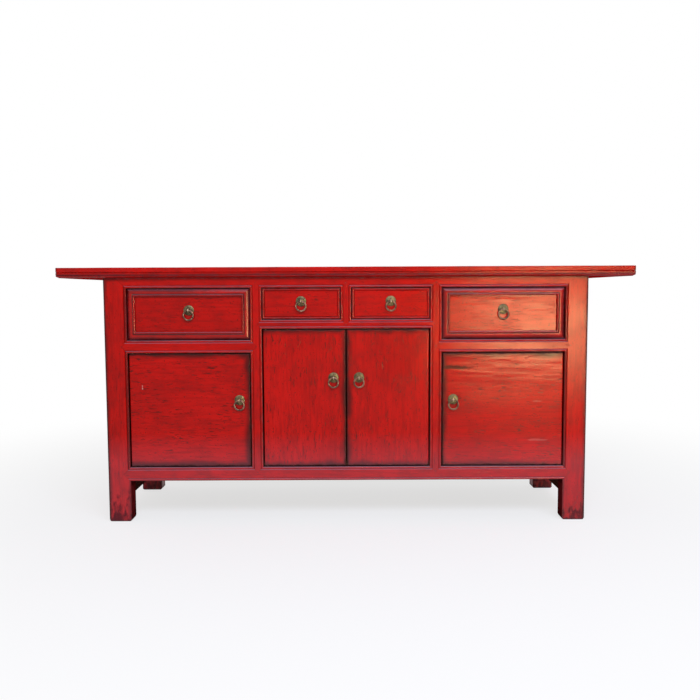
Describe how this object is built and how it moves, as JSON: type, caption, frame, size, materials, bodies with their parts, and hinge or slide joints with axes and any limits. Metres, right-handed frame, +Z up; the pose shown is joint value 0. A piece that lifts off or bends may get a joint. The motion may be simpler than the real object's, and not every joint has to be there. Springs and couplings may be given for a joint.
{
  "type": "tv cabinet",
  "caption": "Long red-lacquered sideboard cabinet with an overhanging plank top on square legs, drawers over pivot-hung slab doors, and aged brass ring pulls.",
  "frame": {"origin": "on the floor, under the middle of the top board", "axes": "+X to the right along the length seen from the front, +Y from the front to the back, +Z up"},
  "size_m": [1.9, 0.5, 0.855],
  "materials": {
    "red_lacquer": "aged glossy red lacquer, worn dark along the edges",
    "bare_wood": "unpainted softwood, darkened with age",
    "aged_brass": "dull brass with a brown-green patina"
  },
  "bodies": {
    "carcass": {"top_board": "red_lacquer", "leg_front_left": "red_lacquer", "leg_front_right": "red_lacquer", "leg_rear_left": "red_lacquer", "leg_rear_right": "red_lacquer", "front_top_rail": "red_lacquer", "front_bottom_rail": "red_lacquer", "front_stile_left": "red_lacquer", "front_stile_right": "red_lacquer", "drawer_stile": "red_lacquer", "mid_rail_left": "red_lacquer", "mid_rail_centre": "red_lacquer", "mid_rail_right": "red_lacquer", "side_rails": "red_lacquer", "side_panels": "red_lacquer", "back_frame": "bare_wood", "back_panels": "bare_wood", "partitions": "bare_wood", "top_bearers": "bare_wood", "drawer_runners": "bare_wood", "floor_boards": "bare_wood", "door_stops": "bare_wood"},
    "drawer_left": {"drawer_left_box": "bare_wood", "drawer_left_moulding": "red_lacquer", "drawer_left_front": "red_lacquer", "drawer_left_pull_plate": "aged_brass"},
    "drawer_left_pull_ring": {"drawer_left_pull_ring": "aged_brass"},
    "drawer_centre_left": {"drawer_centre_left_box": "bare_wood", "drawer_centre_left_front": "red_lacquer", "drawer_centre_left_pull_plate": "aged_brass"},
    "drawer_centre_left_pull_ring": {"drawer_centre_left_pull_ring": "aged_brass"},
    "drawer_centre_right": {"drawer_centre_right_box": "bare_wood", "drawer_centre_right_front": "red_lacquer", "drawer_centre_right_pull_plate": "aged_brass"},
    "drawer_centre_right_pull_ring": {"drawer_centre_right_pull_ring": "aged_brass"},
    "drawer_right": {"drawer_right_box": "bare_wood", "drawer_right_moulding": "red_lacquer", "drawer_right_front": "red_lacquer", "drawer_right_pull_plate": "aged_brass"},
    "drawer_right_pull_ring": {"drawer_right_pull_ring": "aged_brass"},
    "door_left": {"door_left_panel": "red_lacquer", "door_left_battens": "bare_wood", "door_left_pivots": "bare_wood", "door_left_pull_plate": "aged_brass"},
    "door_left_pull_ring": {"door_left_pull_ring": "aged_brass"},
    "door_centre_left": {"door_centre_left_panel": "red_lacquer", "door_centre_left_battens": "bare_wood", "door_centre_left_pivots": "bare_wood", "door_centre_left_pull_plate": "aged_brass"},
    "door_centre_left_pull_ring": {"door_centre_left_pull_ring": "aged_brass"},
    "door_centre_right": {"door_centre_right_panel": "red_lacquer", "door_centre_right_battens": "bare_wood", "door_centre_right_pivots": "bare_wood", "door_centre_right_pull_plate": "aged_brass"},
    "door_centre_right_pull_ring": {"door_centre_right_pull_ring": "aged_brass"},
    "door_right": {"door_right_panel": "red_lacquer", "door_right_battens": "bare_wood", "door_right_pivots": "bare_wood", "door_right_pull_plate": "aged_brass"},
    "door_right_pull_ring": {"door_right_pull_ring": "aged_brass"}
  },
  "joints": [
    {"name": "drawer_left_slide", "type": "slide", "parent": "carcass", "child": "drawer_left", "axis": [0, -1, 0], "range_m": [0, 0.3]},
    {"name": "drawer_left_ring_swing", "type": "hinge", "parent": "drawer_left", "child": "drawer_left_pull_ring", "pos_m": [-0.523, -0.2285, 0.71325], "axis": [-1, 0, 0], "range_deg": [-8, 165]},
    {"name": "drawer_centre_left_slide", "type": "slide", "parent": "carcass", "child": "drawer_centre_left", "axis": [0, -1, 0], "range_m": [0, 0.3]},
    {"name": "drawer_centre_left_ring_swing", "type": "hinge", "parent": "drawer_centre_left", "child": "drawer_centre_left_pull_ring", "pos_m": [-0.14875, -0.2375, 0.742], "axis": [-1, 0, 0], "range_deg": [-8, 165]},
    {"name": "drawer_centre_right_slide", "type": "slide", "parent": "carcass", "child": "drawer_centre_right", "axis": [0, -1, 0], "range_m": [0, 0.3]},
    {"name": "drawer_centre_right_ring_swing", "type": "hinge", "parent": "drawer_centre_right", "child": "drawer_centre_right_pull_ring", "pos_m": [0.14875, -0.2375, 0.742], "axis": [-1, 0, 0], "range_deg": [-8, 165]},
    {"name": "drawer_right_slide", "type": "slide", "parent": "carcass", "child": "drawer_right", "axis": [0, -1, 0], "range_m": [0, 0.3]},
    {"name": "drawer_right_ring_swing", "type": "hinge", "parent": "drawer_right", "child": "drawer_right_pull_ring", "pos_m": [0.523, -0.2285, 0.71325], "axis": [-1, 0, 0], "range_deg": [-8, 165]},
    {"name": "door_left_hinge", "type": "hinge", "parent": "carcass", "child": "door_left", "pos_m": [-0.714, -0.216, 0.1855], "axis": [0, 0, -1], "range_deg": [0, 95]},
    {"name": "door_left_ring_swing", "type": "hinge", "parent": "door_left", "child": "door_left_pull_ring", "pos_m": [-0.357, -0.2355, 0.4125], "axis": [-1, 0, 0], "range_deg": [-8, 165]},
    {"name": "door_centre_left_hinge", "type": "hinge", "parent": "carcass", "child": "door_centre_left", "pos_m": [-0.266, -0.216, 0.1855], "axis": [0, 0, -1], "range_deg": [0, 95]},
    {"name": "door_centre_left_ring_swing", "type": "hinge", "parent": "door_centre_left", "child": "door_centre_left_pull_ring", "pos_m": [-0.0425, -0.2355, 0.48725], "axis": [-1, 0, 0], "range_deg": [-8, 165]},
    {"name": "door_centre_right_hinge", "type": "hinge", "parent": "carcass", "child": "door_centre_right", "pos_m": [0.266, -0.216, 0.1855], "axis": [0, 0, 1], "range_deg": [0, 95]},
    {"name": "door_centre_right_ring_swing", "type": "hinge", "parent": "door_centre_right", "child": "door_centre_right_pull_ring", "pos_m": [0.0425, -0.2355, 0.48725], "axis": [-1, 0, 0], "range_deg": [-8, 165]},
    {"name": "door_right_hinge", "type": "hinge", "parent": "carcass", "child": "door_right", "pos_m": [0.714, -0.216, 0.1855], "axis": [0, 0, 1], "range_deg": [0, 95]},
    {"name": "door_right_ring_swing", "type": "hinge", "parent": "door_right", "child": "door_right_pull_ring", "pos_m": [0.357, -0.2355, 0.4125], "axis": [-1, 0, 0], "range_deg": [-8, 165]}
  ]
}
